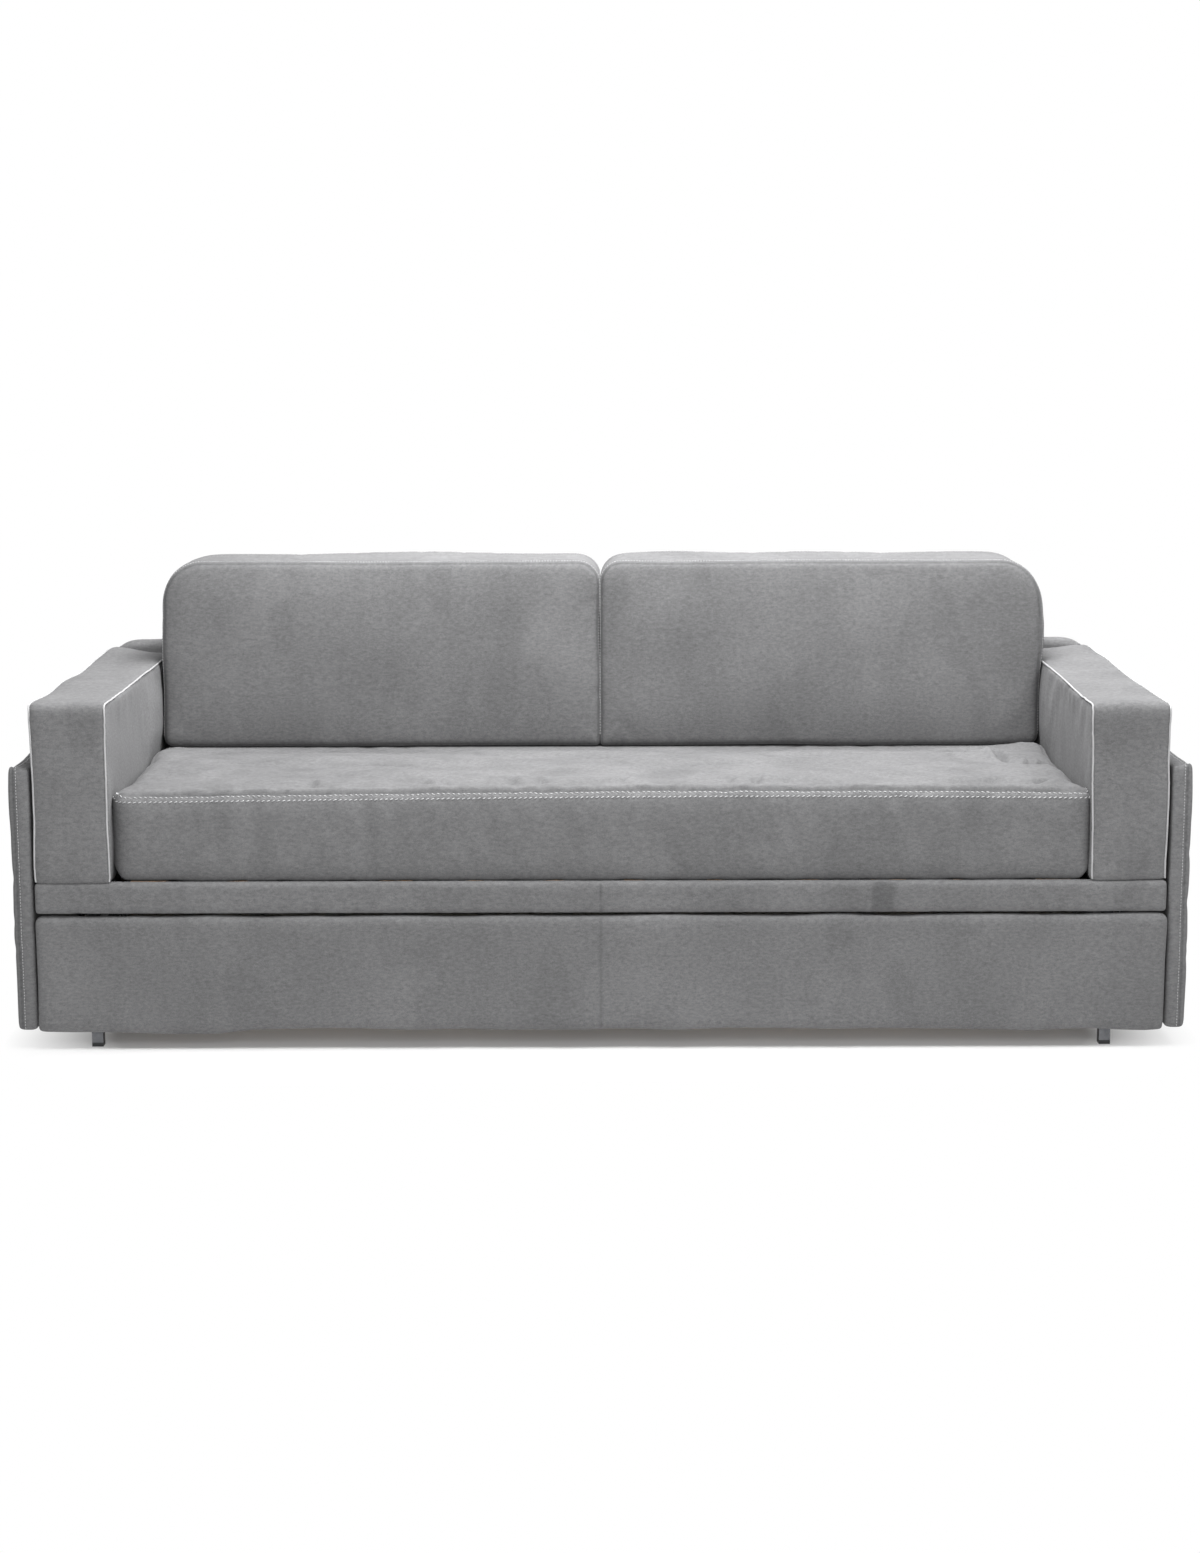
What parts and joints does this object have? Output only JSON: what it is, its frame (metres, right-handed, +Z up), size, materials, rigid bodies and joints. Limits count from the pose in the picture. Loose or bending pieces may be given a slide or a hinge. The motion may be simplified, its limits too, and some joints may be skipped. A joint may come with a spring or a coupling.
{
  "type": "bunk bed sofa",
  "caption": "Upholstered sofa whose seat, armrests and back are the upper bunk of a bed: parallel links swing it up level over the lower bed in the base.",
  "frame": {"origin": "on the floor, under the middle of the sofa's bounding box", "axes": "+X along the sofa to the viewer's right, -Y to the front, +Z up"},
  "size_m": [2.3, 0.914, 0.9078],
  "materials": {
    "suede_fabric": "brushed microfibre suede, mid grey",
    "ticking_fabric": "woven mattress ticking",
    "beech": "bent laminated beech, clear lacquer",
    "panel_board": "grey melamine faced board",
    "coated_steel": "black powder coat, satin",
    "bright_steel": "satin plate",
    "zinc_steel": "zinc plated, satin",
    "bronze": "sintered bronze",
    "black_plastic": "moulded, matte",
    "black_rubber": "matte"
  },
  "bodies": {
    "base": {"base_centre_bearer": "coated_steel", "base_end_rail_left": "coated_steel", "base_end_rail_right": "coated_steel", "base_front_rail": "coated_steel", "base_legs": "bright_steel", "base_rear_rail": "coated_steel", "foot_glides": "black_plastic", "front_panel_board": "panel_board", "front_panel_cover": "suede_fabric", "lower_mattress": "ticking_fabric", "lower_slats": "beech", "panel_bolts": "zinc_steel", "panel_pivots_left": "zinc_steel", "panel_pivots_right": "zinc_steel", "pivot_plate_left": "coated_steel", "pivot_plate_right": "coated_steel", "rail_end_plates": "coated_steel", "rear_panel": "panel_board", "side_panel_core_left": "panel_board", "side_panel_core_right": "panel_board", "side_panel_cover_left": "suede_fabric", "side_panel_cover_right": "suede_fabric", "stop_pads": "black_rubber"},
    "upper_bed": {"arm_bearer_left": "coated_steel", "arm_bearer_right": "coated_steel", "armrest_cover_left": "suede_fabric", "armrest_cover_right": "suede_fabric", "armrest_frame_left": "panel_board", "armrest_frame_right": "panel_board", "back_panel_board": "panel_board", "back_panel_cover": "suede_fabric", "back_uprights": "coated_steel", "front_band": "suede_fabric", "hanger_bolts": "zinc_steel", "hanger_left": "coated_steel", "hanger_pins_left": "zinc_steel", "hanger_pins_right": "zinc_steel", "hanger_right": "coated_steel", "rear_band": "suede_fabric", "seat_end_rail_left": "coated_steel", "seat_end_rail_right": "coated_steel", "seat_front_rail": "coated_steel", "seat_mattress": "suede_fabric", "seat_rear_rail": "coated_steel", "seat_slats": "beech"},
    "back_cushion_left": {"back_cushion_left": "suede_fabric"},
    "back_cushion_right": {"back_cushion_right": "suede_fabric"},
    "lock_slide_left": {"lock_slide_left": "zinc_steel"},
    "lock_slide_right": {"lock_slide_right": "zinc_steel"},
    "lower_link_left": {"lower_link_left": "zinc_steel", "lower_link_left_bushes": "bronze"},
    "lower_link_right": {"lower_link_right": "zinc_steel", "lower_link_right_bushes": "bronze"},
    "upper_link_left": {"upper_link_left": "zinc_steel", "upper_link_left_bushes": "bronze"},
    "upper_link_right": {"upper_link_right": "zinc_steel", "upper_link_right_bushes": "bronze"}
  },
  "joints": [
    {"name": "bunk_lift", "type": "hinge", "parent": "base", "child": "upper_link_left", "pos_m": [-1.1027, 0.36, 0.53], "axis": [-1, 0, 0], "range_deg": [0, 90]},
    {"name": "bunk_level", "type": "hinge", "parent": "upper_link_left", "child": "upper_bed", "pos_m": [-1.1027, 0.02, 0.19], "axis": [-1, 0, 0], "range_deg": [-90, 0]},
    {"name": "lower_left_swing", "type": "hinge", "parent": "base", "child": "lower_link_left", "pos_m": [-1.1027, 0.36, 0.43], "axis": [-1, 0, 0], "range_deg": [0, 90]},
    {"name": "upper_right_swing", "type": "hinge", "parent": "base", "child": "upper_link_right", "pos_m": [1.1027, 0.36, 0.53], "axis": [-1, 0, 0], "range_deg": [0, 90]},
    {"name": "lower_right_swing", "type": "hinge", "parent": "base", "child": "lower_link_right", "pos_m": [1.1027, 0.36, 0.43], "axis": [-1, 0, 0], "range_deg": [0, 90]},
    {"name": "left_cushion_lift_off", "type": "slide", "parent": "upper_bed", "child": "back_cushion_left", "axis": [0, 0, 1], "range_m": [0, 0.4]},
    {"name": "right_cushion_lift_off", "type": "slide", "parent": "upper_bed", "child": "back_cushion_right", "axis": [0, 0, 1], "range_m": [0, 0.4]},
    {"name": "left_lock", "type": "slide", "parent": "base", "child": "lock_slide_left", "axis": [1, 0, 0], "range_m": [0, 0.008]},
    {"name": "right_lock", "type": "slide", "parent": "base", "child": "lock_slide_right", "axis": [-1, 0, 0], "range_m": [0, 0.008]}
  ],
  "couplings": [
    {"joint": "bunk_level", "follows": "bunk_lift", "ratio": -1},
    {"joint": "lower_left_swing", "follows": "bunk_lift", "ratio": 1},
    {"joint": "upper_right_swing", "follows": "bunk_lift", "ratio": 1},
    {"joint": "lower_right_swing", "follows": "bunk_lift", "ratio": 1}
  ]
}
